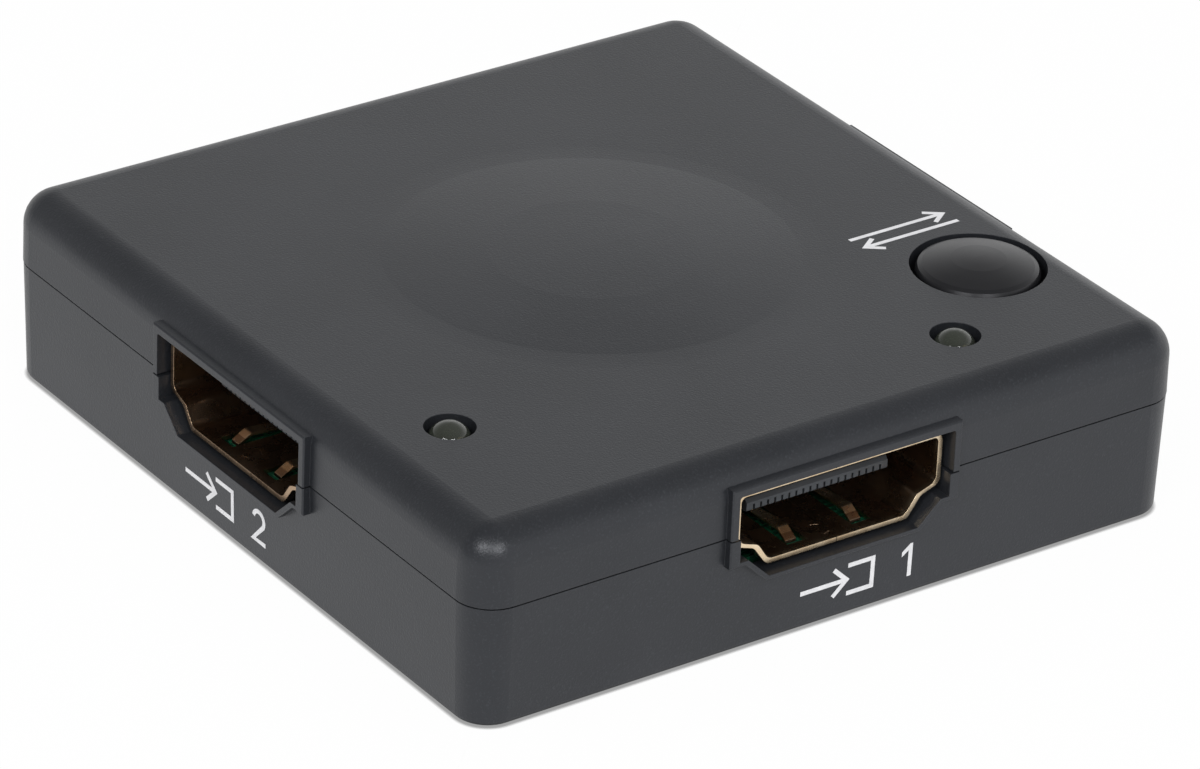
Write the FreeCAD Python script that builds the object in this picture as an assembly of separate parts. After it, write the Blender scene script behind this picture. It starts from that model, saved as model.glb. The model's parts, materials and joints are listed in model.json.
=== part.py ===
import FreeCAD, Part
import math
import os

# A small square switch box: a two-part moulded case holds a circuit board with three HDMI
# receptacles, a push button over a tact switch, and two indicator lamps.
# Millimetres, +Z up, origin at the centre of the underside. Input 1 looks out along -Y,
# input 2 along -X and the output along +X.

Vec = FreeCAD.Vector

# Case
case_width = 50.0
case_depth = 50.8
case_height = 12.4
parting_height = 7.7
corner_radius = 2.3
top_edge_radius = 2.15
bottom_edge_radius = 0.4
upper_draft = 0.6
lower_draft = 1.4
cover_overhang = 0.03
seam_gap = 0.1
wall = 1.2
roof_thickness = 1.5
floor_thickness = 1.5
lip_width = 0.55
lip_height = 1.0
lip_clearance = 0.1

# Low round swelling in the middle of the top, with a soft blend into the flat
dome_radius = 13.4
dome_rise = 0.45
dome_blend = 1.6

# Receptacle shell: a folded sheet tube with the D-shaped mouth of an HDMI type A socket
mouth_width = 14.0
mouth_height = 4.55
mouth_side = 2.95
mouth_shoulder_drop = 3.4
mouth_shoulder_half = 5.65
mouth_floor_half = 4.875
mouth_top_height = 9.95
mouth_corner_radius = 0.35
mouth_bend_radius = 0.6
sheet = 0.3
rim_recess = 0.25
shell_length = 11.2
shell_rear_cut_lead = 0.2
shell_leg_width = 1.2
shell_leg_places = (3.4, 9.6)
shell_leg_tip = 2.6
shell_leg_rise = 0.5
seam_slit = 0.06
seam_lead = 0.8
seam_tab_width = 0.5
seam_tab_length = 0.9
seam_tab_lean = 0.2
finger_spacing = 4.6
finger_width = 0.75
finger_slot_width = 1.4
finger_slot_start = 1.0
finger_slot_end = 6.8
finger_crest_place = 2.5
finger_lift = 0.42
finger_thickness = 0.2
finger_tip_reach = 0.9
finger_tip_drop = 0.1
finger_ramp_reach = 1.0
finger_ramp_drop = 0.08
finger_crest_radius = 0.3
finger_root_hold = 0.4
upper_finger_setback = 1.4

# Insulator and contacts inside each receptacle
tongue_width = 10.05
tongue_thickness = 0.8
tongue_drop = 1.7
tongue_setback = 2.1
tongue_top_chamfer = 0.22
tongue_foot_chamfer = 0.1
tongue_lip = 0.4
tooth_gap_width = 0.14
tooth_gap_height = 0.42
base_setback = 7.8
base_length = 2.85
base_foot_inset = 0.1
insulator_fit = 0.04
contact_pitch = 0.5
contact_count = 19
contact_width = 0.3
contact_thickness = 0.12
contact_setback = 0.5
contact_foot = 1.3
contact_fit = 0.02

# Port openings in the case and the raised frames round them
opening_half = 7.65
opening_waist_gap = 0.9
opening_floor_side_gap = 0.15
opening_head_gap = 0.3
opening_foot_gap = 0.3
opening_corner_radius = 0.2
lower_opening_half = 7.45
frame_half = 8.15
frame_head_rim = 0.5
frame_foot_rim = 0.3
frame_proud = 0.5
frame_edge = 0.08

# Circuit board
board_thickness = 1.6
board_edge_gap = 0.4
board_corner_radius = 1.2
shell_board_gap = 0.12
board_hole_gap = 0.15

# Screws and the posts that they pass through, near the four corners
post_inset = 3.0
post_radius = 2.1
screw_radius = 1.0
screw_head_radius = 1.8
screw_head_height = 1.2
screw_head_recess = 0.5
screw_length = 7.4
screw_fit = 0.02
screw_clearance = 0.15
screw_recess_depth = 0.5
screw_cross_width = 0.45
screw_cross_share = 0.6
pilot_extra = 0.3
post_gap = 0.05

# Push button and tact switch, placed in from the right and front edges of the case
button_inset = (6.0, 12.4)
button_hole_radius = 4.15
button_gap = 0.38
button_rim_height = 0.12
button_dome_rise = 0.5
button_edge = 0.4
button_flange_reach = 0.4
button_flange_thickness = 0.8
button_stop_gap = 0.1
button_skin = 0.9
button_stem_radius = 1.9
button_travel = 0.25
button_rest_gap = 0.05
tact_size = 6.0
tact_height = 3.5
tact_floor = 1.0
tact_well_gap = 0.2
tact_plunger_radius = 1.75
tact_plunger_height = 0.8
tact_plunger_foot_radius = 2.2
tact_plunger_foot = 0.5
tact_cover_thickness = 0.2
tact_dome_radius = 2.1
tact_dome_rise = 0.35
tact_dome_thickness = 0.1
tact_dome_rim = 0.5
tact_dome_crown = 0.8
tact_dome_gap = 0.05
tact_fit = 0.05
tact_tab_width = 2.0
tact_tab_drop = 1.4
tact_pin_width = 0.7
tact_pin_thickness = 0.3
tact_pin_spacing = 4.5
tact_pin_tip = 2.0
tact_pin_rise = 0.8

# Indicator lamps: domed lamps whose tips stand just out of round holes. Lamp 1 is placed in
# from the right and front edges of the case, lamp 2 from the left and front edges.
lamp_1_inset = (12.5, 6.15)
lamp_2_inset = (6.0, 12.1)
lamp_hole_radius = 1.53
lamp_gap = 0.18
lamp_stand = 0.3
lamp_body_height = 4.3
lamp_flange_height = 1.0
lamp_flange_reach = 0.45
lamp_lead_width = 0.5
lamp_lead_spacing = 2.54
lamp_lead_tip = 2.0
lamp_collar_wall = 0.8
lamp_collar_depth = 1.0

# Parts soldered to the board: the switching chip is placed from the centre of the case, and
# the others in from its left or right edge and its back edge
chip_size = 10.0
chip_height = 1.0
chip_place = (0.0, 2.0)
chip_lead_count = 16
chip_lead_pitch = 0.5
chip_lead_width = 0.22
chip_lead_thickness = 0.15
chip_lead_reach = 1.0
chip_lead_knee_share = 0.4
chip_standoff = 0.1
logic_size = (4.9, 3.9)
logic_height = 1.4
logic_inset = (15.5, 8.9)
logic_lead_count = 4
logic_lead_pitch = 1.27
logic_lead_width = 0.4
regulator_size = (6.5, 3.5)
regulator_height = 1.6
regulator_inset = (16.5, 8.9)
regulator_lead_pitch = 2.3
regulator_lead_width = 0.7
regulator_tab_width = 3.0
capacitor_can_radius = 2.0
capacitor_can_height = 5.2
capacitor_base_height = 0.7
capacitor_base_size = 4.3
capacitor_edge = 0.3
capacitor_inset = (9.0, 11.4)
small_capacitor_size = (1.6, 0.8, 0.8)
small_capacitor_spacing = 2.4
resistor_size = (0.5, 1.0, 0.35)
resistor_pitch = 1.2
resistors_per_port = 8
resistor_setback = 14.3
diode_size = (1.6, 2.7, 1.1)
diode_offset = 9.6
diode_setback = 13.5

# How far a cutting tool runs past the face that it opens
past = 1.0

half_x = case_width / 2
half_y = case_depth / 2
button_place = (half_x - button_inset[0], button_inset[1] - half_y)
lamp_1_place = (half_x - lamp_1_inset[0], lamp_1_inset[1] - half_y)
lamp_2_place = (lamp_2_inset[0] - half_x, lamp_2_inset[1] - half_y)
logic_place = (logic_inset[0] - half_x, half_y - logic_inset[1])
regulator_place = (half_x - regulator_inset[0], half_y - regulator_inset[1])
capacitor_place = (half_x - capacitor_inset[0], half_y - capacitor_inset[1])
roof_inside = case_height - roof_thickness
mouth_floor_height = mouth_top_height - mouth_height
board_top = mouth_floor_height - sheet - shell_board_gap
board_bottom = board_top - board_thickness
board_half_x = half_x - wall - board_edge_gap
board_half_y = half_y - wall - board_edge_gap
post_x = half_x - wall - post_inset
post_y = half_y - wall - post_inset
tongue_top = mouth_top_height - tongue_drop
tongue_bottom = tongue_top - tongue_thickness
opening_head = mouth_top_height + sheet + opening_head_gap
opening_foot = mouth_floor_height - sheet - opening_foot_gap
mouth_side_foot = mouth_top_height - mouth_side
mouth_shoulder = mouth_top_height - mouth_shoulder_drop
tact_top = board_top + tact_height
tact_plunger_top = tact_top + tact_cover_thickness + tact_plunger_height
lamp_top = case_height + lamp_stand
ports = {
    "input_1": (0.0, Vec(0, -half_y, 0)),
    "input_2": (-90.0, Vec(-half_x, 0, 0)),
    "output": (90.0, Vec(half_x, 0, 0)),
}


def block(x, y, z):
    # A box from three (low, high) pairs.
    return Part.makeBox(x[1] - x[0], y[1] - y[0], z[1] - z[0], Vec(x[0], y[0], z[0]))


def centred(middle, width):
    return (middle - width / 2, middle + width / 2)


def disc(radius, z, place=(0.0, 0.0)):
    # An upright cylinder between two heights.
    return Part.makeCylinder(radius, z[1] - z[0], Vec(place[0], place[1], z[0]))


def union(shapes):
    first, *rest = shapes
    return first.fuse(rest).removeSplitter() if rest else first


def rounded_wire(points, radii, place):
    # A closed outline through points in a plane, each corner rounded by its own radius.
    corners = [Vec(a, b, 0) for a, b in points]
    trims = []
    for i, corner in enumerate(corners):
        back = (corners[i - 1] - corner).normalize()
        ahead = (corners[(i + 1) % len(corners)] - corner).normalize()
        half = back.getAngle(ahead) / 2
        reach = radii[i] / math.tan(half)
        middle = (back + ahead).normalize() * (radii[i] / math.sin(half) - radii[i])
        trims.append((corner + back * reach, corner + middle, corner + ahead * reach))
    edges = []
    for i, (start, middle, end) in enumerate(trims):
        if radii[i] > 0:
            edges.append(Part.Arc(place(start), place(middle), place(end)).toShape())
        after = trims[(i + 1) % len(trims)][0]
        edges.append(Part.LineSegment(place(end), place(after)).toShape())
    return Part.Wire(edges)


def rectangle_wire(half_width, half_length, radius, z):
    points = [(-half_width, -half_length), (half_width, -half_length),
              (half_width, half_length), (-half_width, half_length)]
    return rounded_wire(points, [radius] * 4, lambda p: Vec(p.x, p.y, z))


def tapered_block(half_width, half_length, radius, z, taper):
    # An upright rounded block whose sides lean in by taper from the first height to the second.
    # The corner radius shrinks with the sides, so that each corner is a cone.
    near = rectangle_wire(half_width, half_length, radius, z[0])
    far = rectangle_wire(half_width - taper, half_length - taper, radius - taper, z[1])
    return Part.makeLoft([near, far], True, True)


def plate(half_width, half_length, radius, z):
    wire = rectangle_wire(half_width, half_length, radius, z[0])
    return Part.Face(wire).extrude(Vec(0, 0, z[1] - z[0]))


def profile_bar(points, radii, y):
    # An outline in the XZ plane drawn out along Y.
    wire = rounded_wire(points, radii, lambda p: Vec(p.x, y[0], p.y))
    return Part.Face(wire).extrude(Vec(0, y[1] - y[0], 0))


def side_bar(points, radii, x):
    # An outline in the YZ plane drawn out along X.
    wire = rounded_wire(points, radii, lambda p: Vec(x[0], p.x, p.y))
    return Part.Face(wire).extrude(Vec(x[1] - x[0], 0, 0))


def sharp(points):
    return [0] * len(points)


def turned(edges):
    # A solid of revolution about Z from a closed outline in the XZ plane.
    return Part.Face(Part.Wire(edges)).revolve(Vec(0, 0, 0), Vec(0, 0, 1), 360)


def line(a, b):
    return Part.LineSegment(Vec(a[0], 0, a[1]), Vec(b[0], 0, b[1])).toShape()


def lines(points):
    return [line(a, b) for a, b in zip(points, points[1:])]


def crown_arcs(reach, base, rise):
    # A shallow round crown over the axis, as two arcs of one circle: (r, z) falls from
    # (0, base + rise) to (reach, base).
    radius = (reach ** 2 + rise ** 2) / (2 * rise)
    points = []
    for i in range(5):
        r = reach * i / 4
        points.append(Vec(r, 0, base + rise - radius + math.sqrt(radius ** 2 - r ** 2)))
    return [Part.Arc(*points[:3]).toShape(), Part.Arc(*points[2:]).toShape()]


def curve(points):
    # A smooth Bezier curve in the XZ plane that starts and ends along its outer legs.
    bezier = Part.BezierCurve()
    bezier.setPoles([Vec(a, 0, b) for a, b in points])
    return bezier.toShape()


def edges_at(shape, axis, value):
    # The edges that lie wholly in the plane axis = value.
    low, high = {"y": ("YMin", "YMax"), "z": ("ZMin", "ZMax")}[axis]
    return [e for e in shape.Edges
            if abs(getattr(e.BoundBox, low) - value) < 1e-4
            and abs(getattr(e.BoundBox, high) - value) < 1e-4]


def at_port(shape, port):
    # From the port's own frame (mouth at y = 0 looking along -Y) to its place in the case.
    angle, place = ports[port]
    moved = shape.copy()
    moved.rotate(Vec(0, 0, 0), Vec(0, 0, 1), angle)
    moved.translate(place)
    return moved


def board_pocket(part, gap):
    # The upright space that a pin or leg needs through the board.
    b = part.BoundBox
    return block((b.XMin - gap, b.XMax + gap), (b.YMin - gap, b.YMax + gap),
                 (board_bottom - past, board_top + past))


def mouth_points(grow):
    # The D-shaped mouth, grown outwards by a sheet or a gap on every side.
    top = mouth_top_height + grow
    foot = mouth_floor_height - grow
    half = mouth_width / 2 + grow
    shoulder = mouth_shoulder - grow / 2
    return [(-half, top), (half, top), (half, mouth_side_foot - grow / 2),
            (mouth_shoulder_half + grow, shoulder), (mouth_floor_half + grow / 2, foot),
            (-mouth_floor_half - grow / 2, foot), (-mouth_shoulder_half - grow, shoulder),
            (-half, mouth_side_foot - grow / 2)]


def mouth_bar(grow, y):
    corner = mouth_corner_radius + grow
    radii = [corner] * 2 + [mouth_bend_radius] * 6
    return profile_bar(mouth_points(grow), radii, y)


def frame_bar(points, foot):
    # The front edges of a raised rim are broken all round, but for the ones at the parting line.
    bar = profile_bar(points, sharp(points), (-frame_proud, wall))
    front = [e for e in edges_at(bar, "y", -frame_proud)
             if abs(e.BoundBox.ZMin - foot) > frame_edge or abs(e.BoundBox.ZMax - foot) > frame_edge]
    return bar.makeChamfer(frame_edge, front)


def upper_frame():
    # The raised rim round the upper half of a port, open at the parting line.
    foot = parting_height + seam_gap
    head = opening_head + frame_head_rim
    return frame_bar([(-frame_half, foot), (frame_half, foot), (frame_half, head),
                      (-frame_half, head)], foot)


def upper_opening():
    points = [(-opening_half, parting_height - past), (opening_half, parting_height - past),
              (opening_half, opening_head), (-opening_half, opening_head)]
    corner = opening_corner_radius
    return profile_bar(points, [0, 0, corner, corner], (-frame_proud - past, wall + past))


def lower_opening_points(half, rim, head):
    # Down the sides, in along the shoulders and down the slopes to the foot, each a rim outside
    # the opening itself.
    shoulder = mouth_shoulder - sheet - rim
    waist = mouth_shoulder_half + sheet + opening_waist_gap + rim / 2
    foot_half = mouth_floor_half + sheet + opening_floor_side_gap + rim / 2
    foot = opening_foot - rim
    return [(half, head), (-half, head), (-half, shoulder), (-waist, shoulder),
            (-foot_half, foot), (foot_half, foot), (waist, shoulder), (half, shoulder)]


def lower_frame():
    # The rim goes on round the lower half of the port at the same height.
    points = lower_opening_points(frame_half, frame_foot_rim, parting_height)
    return frame_bar(points, parting_height)


def lower_opening():
    points = lower_opening_points(lower_opening_half, 0.0, parting_height + past)
    return profile_bar(points, sharp(points), (-frame_proud - past, wall + past))


def case_dome():
    # A low swelling: a round cap that turns back into the flat top without an edge.
    inner = dome_radius - dome_blend / 2
    outer = dome_radius + dome_blend / 2
    top = case_height + dome_rise
    slope = 2 * dome_rise / (inner + outer)
    shoulder = case_height + slope * (outer - inner) / 2
    sunk = case_height - roof_thickness / 2
    cap = crown_arcs(inner, shoulder, top - shoulder)
    blend = curve([(inner, shoulder), (dome_radius, case_height), (outer, case_height)])
    return turned(cap + [blend] + lines([(outer, case_height), (outer, sunk), (0, sunk),
                                         (0, top)]))


def corner_places():
    return [(sx * post_x, sy * post_y) for sx in (-1, 1) for sy in (-1, 1)]


def make_top_cover():
    foot = parting_height + seam_gap
    taper = (case_height - foot) * math.tan(math.radians(upper_draft))
    body = tapered_block(half_x + cover_overhang, half_y + cover_overhang,
                         corner_radius + cover_overhang, (foot, case_height), taper)
    body = body.makeFillet(top_edge_radius, edges_at(body, "z", case_height))
    body = union([body, case_dome()] + [at_port(upper_frame(), p) for p in ports])
    cavity = plate(half_x - wall, half_y - wall, corner_radius - wall,
                   (foot - past, roof_inside))
    rebate_gap = lip_width + lip_clearance
    rebate = plate(half_x - wall + rebate_gap, half_y - wall + rebate_gap,
                   corner_radius - wall + rebate_gap,
                   (foot - past, parting_height + lip_height + lip_clearance))
    body = body.cut([cavity, rebate])
    boss_foot = board_top + post_gap
    sunk = roof_inside + roof_thickness / 2
    bosses = [disc(post_radius, (boss_foot, sunk), p) for p in corner_places()]
    lamps = (lamp_1_place, lamp_2_place)
    collars = [disc(lamp_hole_radius + lamp_collar_wall, (roof_inside - lamp_collar_depth, sunk), p)
               for p in lamps]
    body = union([body] + bosses + collars)
    pilot_top = screw_head_recess + screw_head_height + screw_length + pilot_extra
    pilots = [disc(screw_radius + screw_fit, (boss_foot - past, pilot_top), p)
              for p in corner_places()]
    lamp_holes = [disc(lamp_hole_radius, (roof_inside - lamp_collar_depth - past,
                                          case_height + past), p) for p in lamps]
    button_hole = disc(button_hole_radius, (roof_inside - past, case_height + past), button_place)
    openings = [at_port(upper_opening(), p) for p in ports]
    return body.cut(pilots + lamp_holes + [button_hole] + openings)


def make_bottom_case():
    taper = parting_height * math.tan(math.radians(lower_draft))
    body = tapered_block(half_x - taper, half_y - taper, corner_radius - taper,
                         (0, parting_height), -taper)
    body = body.makeFillet(bottom_edge_radius, edges_at(body, "z", 0))
    lip = plate(half_x - wall + lip_width, half_y - wall + lip_width,
                corner_radius - wall + lip_width, (floor_thickness, parting_height + lip_height))
    body = union([body, lip] + [at_port(lower_frame(), p) for p in ports])
    cavity = plate(half_x - wall, half_y - wall, corner_radius - wall,
                   (floor_thickness, parting_height + lip_height + past))
    posts = [disc(post_radius, (floor_thickness / 2, board_bottom), p)
             for p in corner_places()]
    body = union([body.cut(cavity)] + posts)
    seats = [disc(screw_head_radius + screw_clearance,
                  (-past, screw_head_recess + screw_head_height), p) for p in corner_places()]
    shanks = [disc(screw_radius + screw_clearance, (-past, board_bottom + past), p)
              for p in corner_places()]
    openings = [at_port(lower_opening(), p) for p in ports]
    return body.cut(seats + shanks + openings)


def make_case_screws():
    screws = []
    head_top = screw_head_recess + screw_head_height
    for place in corner_places():
        head = disc(screw_head_radius, (screw_head_recess, head_top), place)
        shank = disc(screw_radius, (head_top, head_top + screw_length), place)
        arm = centred(0.0, 2 * screw_head_radius * screw_cross_share)
        half = centred(0.0, screw_cross_width)
        depth = (screw_head_recess - past, screw_head_recess + screw_recess_depth)
        cross = union([block(arm, half, depth), block(half, arm, depth)])
        cross.translate(Vec(place[0], place[1], 0))
        screws.append(union([head, shank]).cut(cross))
    return Part.makeCompound(screws)


def finger_strip(crest, x):
    # A springy strip: flat at its root, up to a rounded crest, and down again at its tip.
    upper = [(finger_slot_end + finger_root_hold, 0.0), (finger_slot_end, 0.0),
             (crest + finger_ramp_reach, finger_lift - finger_ramp_drop), (crest, finger_lift),
             (crest - finger_tip_reach, -finger_tip_drop)]
    lower = [(a, b - finger_thickness) for a, b in reversed(upper)]
    bend = finger_crest_radius
    radii = [0, 0, bend, bend, 0, 0, bend, bend, 0, 0]
    return side_bar(upper + lower, radii, x)


def seam_strip(a, b):
    # A straight stretch of the slit through the shell's floor, from one (x, y) to another.
    along = Vec(b[0] - a[0], b[1] - a[1], 0)
    angle = math.degrees(math.atan2(along.y, along.x))
    half = seam_slit / 2
    strip = block((-half, along.Length + half), (-half, half),
                  (mouth_floor_height - sheet - past, mouth_floor_height + past))
    strip.rotate(Vec(0, 0, 0), Vec(0, 0, 1), angle)
    strip.translate(Vec(a[0], a[1], 0))
    return strip


def shell_seam():
    # The folded sheet's two edges meet in a dovetail in the middle of the floor.
    start = rim_recess - past
    neck = rim_recess + seam_lead
    tab = neck + seam_tab_length
    route = [(0, start), (0, neck), (-seam_tab_width, neck - seam_tab_lean),
             (-seam_tab_width, tab + seam_tab_lean), (0, tab), (0, finger_slot_end)]
    return union([seam_strip(a, b) for a, b in zip(route, route[1:])])


def shell_legs():
    half = mouth_width / 2
    legs = []
    for x in ((half, half + sheet), (-half - sheet, -half)):
        for y_mid in shell_leg_places:
            legs.append(block(x, centred(y_mid, shell_leg_width),
                              (shell_leg_tip, mouth_side_foot + shell_leg_rise)))
    return legs


def make_shell(port):
    start = rim_recess
    end = rim_recess + shell_length
    tube = mouth_bar(sheet, (start, end)).cut(mouth_bar(0.0, (start - past, end + past)))
    half = mouth_width / 2 - sheet
    back_plate = block((-half, half), (end - sheet, end),
                       (mouth_shoulder, mouth_top_height + sheet / 2))
    rear_half = mouth_floor_half + sheet
    rear_cut = block((-rear_half, rear_half),
                     (rim_recess + base_setback - shell_rear_cut_lead, end + past),
                     (mouth_floor_height - past, mouth_floor_height + sheet / 2))
    tube = union([tube.cut(rear_cut), back_plate])
    cuts = [shell_seam()]
    fingers = []
    floor_mid = mouth_floor_height - (sheet - finger_thickness) / 2
    roof_mid = mouth_top_height + (sheet - finger_thickness) / 2
    for x_mid in centred(0.0, finger_spacing):
        gap = centred(x_mid, finger_slot_width)
        cuts.append(block(gap, (finger_slot_start, finger_slot_end),
                          (mouth_floor_height - past, mouth_floor_height + sheet)))
        cuts.append(block(gap, (finger_slot_start + upper_finger_setback, finger_slot_end),
                          (mouth_top_height - sheet, mouth_top_height + past)))
        strip = centred(x_mid, finger_width)
        lower = finger_strip(finger_crest_place, strip)
        lower.translate(Vec(0, 0, floor_mid))
        upper = finger_strip(finger_crest_place + upper_finger_setback, strip)
        upper = upper.mirror(Vec(0, 0, 0), Vec(0, 0, 1))
        upper.translate(Vec(0, 0, roof_mid))
        fingers += [lower, upper]
    return at_port(union([tube.cut(cuts)] + fingers + shell_legs()), port)


def contact_rows():
    # Each contact's x and whether it lies on the tongue's upper face: the rows take turns.
    return [((i - (contact_count - 1) / 2) * contact_pitch, i % 2 == 0)
            for i in range(contact_count)]


def contact_blade(x_mid, is_upper, grow, y):
    low = tongue_top - contact_thickness if is_upper else tongue_bottom
    return block(centred(x_mid, contact_width + 2 * grow), y,
                 (low - grow, low + contact_thickness + grow))


def base_range():
    start = rim_recess + base_setback
    return (start, start + base_length)


def make_insulator(port):
    base_y = base_range()
    base = mouth_bar(-insulator_fit, base_y)
    foot_half = mouth_floor_half - base_foot_inset
    foot = block((-foot_half, foot_half), base_y, (board_top, mouth_floor_height + past))
    front = rim_recess + tongue_setback
    profile = [(front + tongue_top_chamfer, tongue_top), (base_y[1], tongue_top),
               (base_y[1], tongue_bottom), (front + tongue_foot_chamfer, tongue_bottom),
               (front, tongue_bottom + tongue_foot_chamfer),
               (front, tongue_top - tongue_top_chamfer)]
    bar = side_bar(profile, sharp(profile), centred(0.0, tongue_width))
    body = union([base, foot, bar])
    cuts = []
    lip_end = front + tongue_lip
    for x_mid, is_upper in contact_rows():
        cuts.append(contact_blade(x_mid, is_upper, contact_fit, (lip_end, base_y[1] + past)))
        cuts.append(block(centred(x_mid, tooth_gap_width), (front - past, lip_end),
                          (tongue_bottom - past, tongue_bottom + tooth_gap_height)))
    return at_port(body.cut(cuts), port)


def make_contacts(port):
    blade_start = rim_recess + tongue_setback + contact_setback
    drop_y = base_range()[1] + contact_fit
    pieces = []
    for x_mid, is_upper in contact_rows():
        blade = contact_blade(x_mid, is_upper, 0.0, (blade_start, drop_y + contact_thickness))
        b = blade.BoundBox
        drop = block((b.XMin, b.XMax), (drop_y, drop_y + contact_thickness),
                     (board_top, b.ZMax))
        foot = block((b.XMin, b.XMax), (drop_y, drop_y + contact_foot),
                     (board_top, board_top + contact_thickness))
        pieces.append(union([blade, drop, foot]))
    return at_port(Part.makeCompound(pieces), port)


def at_button(shape):
    shape.translate(Vec(button_place[0], button_place[1], 0))
    return shape


def make_select_button():
    # A hollow cap with a retaining flange and a central stem, under a low crown whose edge
    # breaks in two steps into the side.
    radius = button_hole_radius - button_gap
    flange_radius = button_hole_radius + button_flange_reach
    flange_top = roof_inside - button_stop_gap
    flange_foot = flange_top - button_flange_thickness
    rim = case_height + button_rim_height
    top = rim + button_dome_rise
    roll = radius - button_edge
    stem_foot = tact_plunger_top + button_rest_gap
    inner = radius - button_skin
    hollow_top = case_height - button_skin / 2
    outline = lines([(roll, rim), (radius - button_edge / 3, rim - button_edge / 3),
                     (radius, rim - button_edge), (radius, flange_top),
                     (flange_radius, flange_top), (flange_radius, flange_foot),
                     (inner, flange_foot), (inner, hollow_top), (button_stem_radius, hollow_top),
                     (button_stem_radius, stem_foot), (0, stem_foot), (0, top)])
    return at_button(turned(crown_arcs(roll, rim, button_dome_rise) + outline))


def make_tact_base():
    body = block(centred(0.0, tact_size), centred(0.0, tact_size), (board_top, tact_top))
    well = disc(tact_plunger_foot_radius + tact_well_gap,
                (board_top + tact_floor, tact_top + past))
    return at_button(body.cut(well))


def make_tact_cover():
    half = tact_size / 2
    top = tact_top + tact_cover_thickness
    cap = block((-half, half), (-half, half), (tact_top, top))
    hole = disc(tact_plunger_radius + tact_fit, (tact_top - past, top + past))
    tabs = [block(centred(0.0, tact_tab_width), y, (tact_top - tact_tab_drop, top))
            for y in ((half, half + tact_cover_thickness), (-half - tact_cover_thickness, -half))]
    return at_button(union([cap.cut(hole)] + tabs))


def tact_foot_range():
    top = tact_top - button_stop_gap / 2
    return (top - tact_plunger_foot, top)


def make_tact_plunger():
    foot_z = tact_foot_range()
    stem = disc(tact_plunger_radius, (foot_z[0], tact_plunger_top))
    return at_button(union([stem, disc(tact_plunger_foot_radius, foot_z)]))


def make_tact_dome():
    # A thin domed spring washer that stands on the floor of the switch body.
    floor = board_top + tact_floor
    top = tact_foot_range()[0] - button_travel - tact_dome_gap
    knee = top - tact_dome_rise
    under = tact_dome_thickness
    rim = tact_dome_radius
    bore = rim - tact_dome_rim
    outline = [(0, top), (tact_dome_crown, top), (rim, knee), (rim, floor), (bore, floor),
               (bore, knee - under), (tact_dome_crown, top - under), (0, top - under), (0, top)]
    return at_button(turned(lines(outline)))


def tact_pins():
    x_off = tact_size / 2 + tact_pin_thickness / 2 + tact_fit
    return [at_button(block(centred(x_mid, tact_pin_thickness), centred(y_mid, tact_pin_width),
                            (tact_pin_tip, board_top + tact_pin_rise)))
            for x_mid in (-x_off, x_off) for y_mid in centred(0.0, tact_pin_spacing)]


def make_lamp(place):
    radius = lamp_hole_radius - lamp_gap
    shoulder = lamp_top - radius
    flange_top = lamp_top - lamp_body_height
    flange_foot = flange_top - lamp_flange_height
    flange = radius + lamp_flange_reach
    diagonal = radius * math.sqrt(0.5)
    tip = Part.Arc(Vec(0, 0, lamp_top), Vec(diagonal, 0, shoulder + diagonal),
                   Vec(radius, 0, shoulder)).toShape()
    lens = turned([tip] + lines([(radius, shoulder), (radius, flange_top), (flange, flange_top),
                                 (flange, flange_foot), (0, flange_foot), (0, lamp_top)]))
    lens.translate(Vec(place[0], place[1], 0))
    return lens


def make_lamp_leads(place):
    top = lamp_top - lamp_body_height - lamp_flange_height
    return Part.makeCompound([block(centred(x_mid, lamp_lead_width),
                                    centred(place[1], lamp_lead_width), (lamp_lead_tip, top))
                              for x_mid in centred(place[0], lamp_lead_spacing)])


def gull_lead(width, height, reach):
    # A bent lead in its own frame: it leaves the body along +Y, slopes down and lies flat on
    # the board.
    thick = chip_lead_thickness
    knee = reach * chip_lead_knee_share
    points = [(0, height), (knee, thick), (reach, thick), (reach, 0), (knee - thick, 0),
              (0, height - thick)]
    return side_bar(points, sharp(points), centred(0.0, width))


def lead_row(count, pitch, width, height, reach, half_body, angle):
    leads = []
    for i in range(count):
        lead = gull_lead(width, height, reach)
        lead.translate(Vec((i - (count - 1) / 2) * pitch, half_body, 0))
        lead.rotate(Vec(0, 0, 0), Vec(0, 0, 1), angle)
        leads.append(lead)
    return leads


def on_board(shape, place, lift=0.0):
    shape.translate(Vec(place[0], place[1], board_top + lift))
    return shape


def chip_body(size, height, place):
    return on_board(block(centred(0.0, size[0]), centred(0.0, size[1]), (0, height)), place,
                    chip_standoff)


def make_switch_chip_leads():
    leads = []
    for angle in (0, 90, 180, 270):
        leads += lead_row(chip_lead_count, chip_lead_pitch, chip_lead_width,
                          chip_standoff + chip_height / 2, chip_lead_reach, chip_size / 2, angle)
    return on_board(Part.makeCompound(leads), chip_place)


def make_logic_chip_leads():
    leads = []
    for angle in (0, 180):
        leads += lead_row(logic_lead_count, logic_lead_pitch, logic_lead_width,
                          chip_standoff + logic_height / 2, chip_lead_reach,
                          logic_size[1] / 2, angle)
    return on_board(Part.makeCompound(leads), logic_place)


def make_regulator_leads():
    rise = chip_standoff + regulator_height / 2
    leads = lead_row(3, regulator_lead_pitch, regulator_lead_width, rise, chip_lead_reach,
                     regulator_size[1] / 2, 180)
    leads += lead_row(1, regulator_lead_pitch, regulator_tab_width, rise, chip_lead_reach,
                      regulator_size[1] / 2, 0)
    return on_board(Part.makeCompound(leads), regulator_place)


def make_bulk_capacitor():
    base = block(centred(0.0, capacitor_base_size), centred(0.0, capacitor_base_size),
                 (0, capacitor_base_height))
    can = disc(capacitor_can_radius, (capacitor_base_height, capacitor_can_height))
    can = can.makeChamfer(capacitor_edge, edges_at(can, "z", capacitor_can_height))
    return on_board(union([base, can]), capacitor_place)


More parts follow.
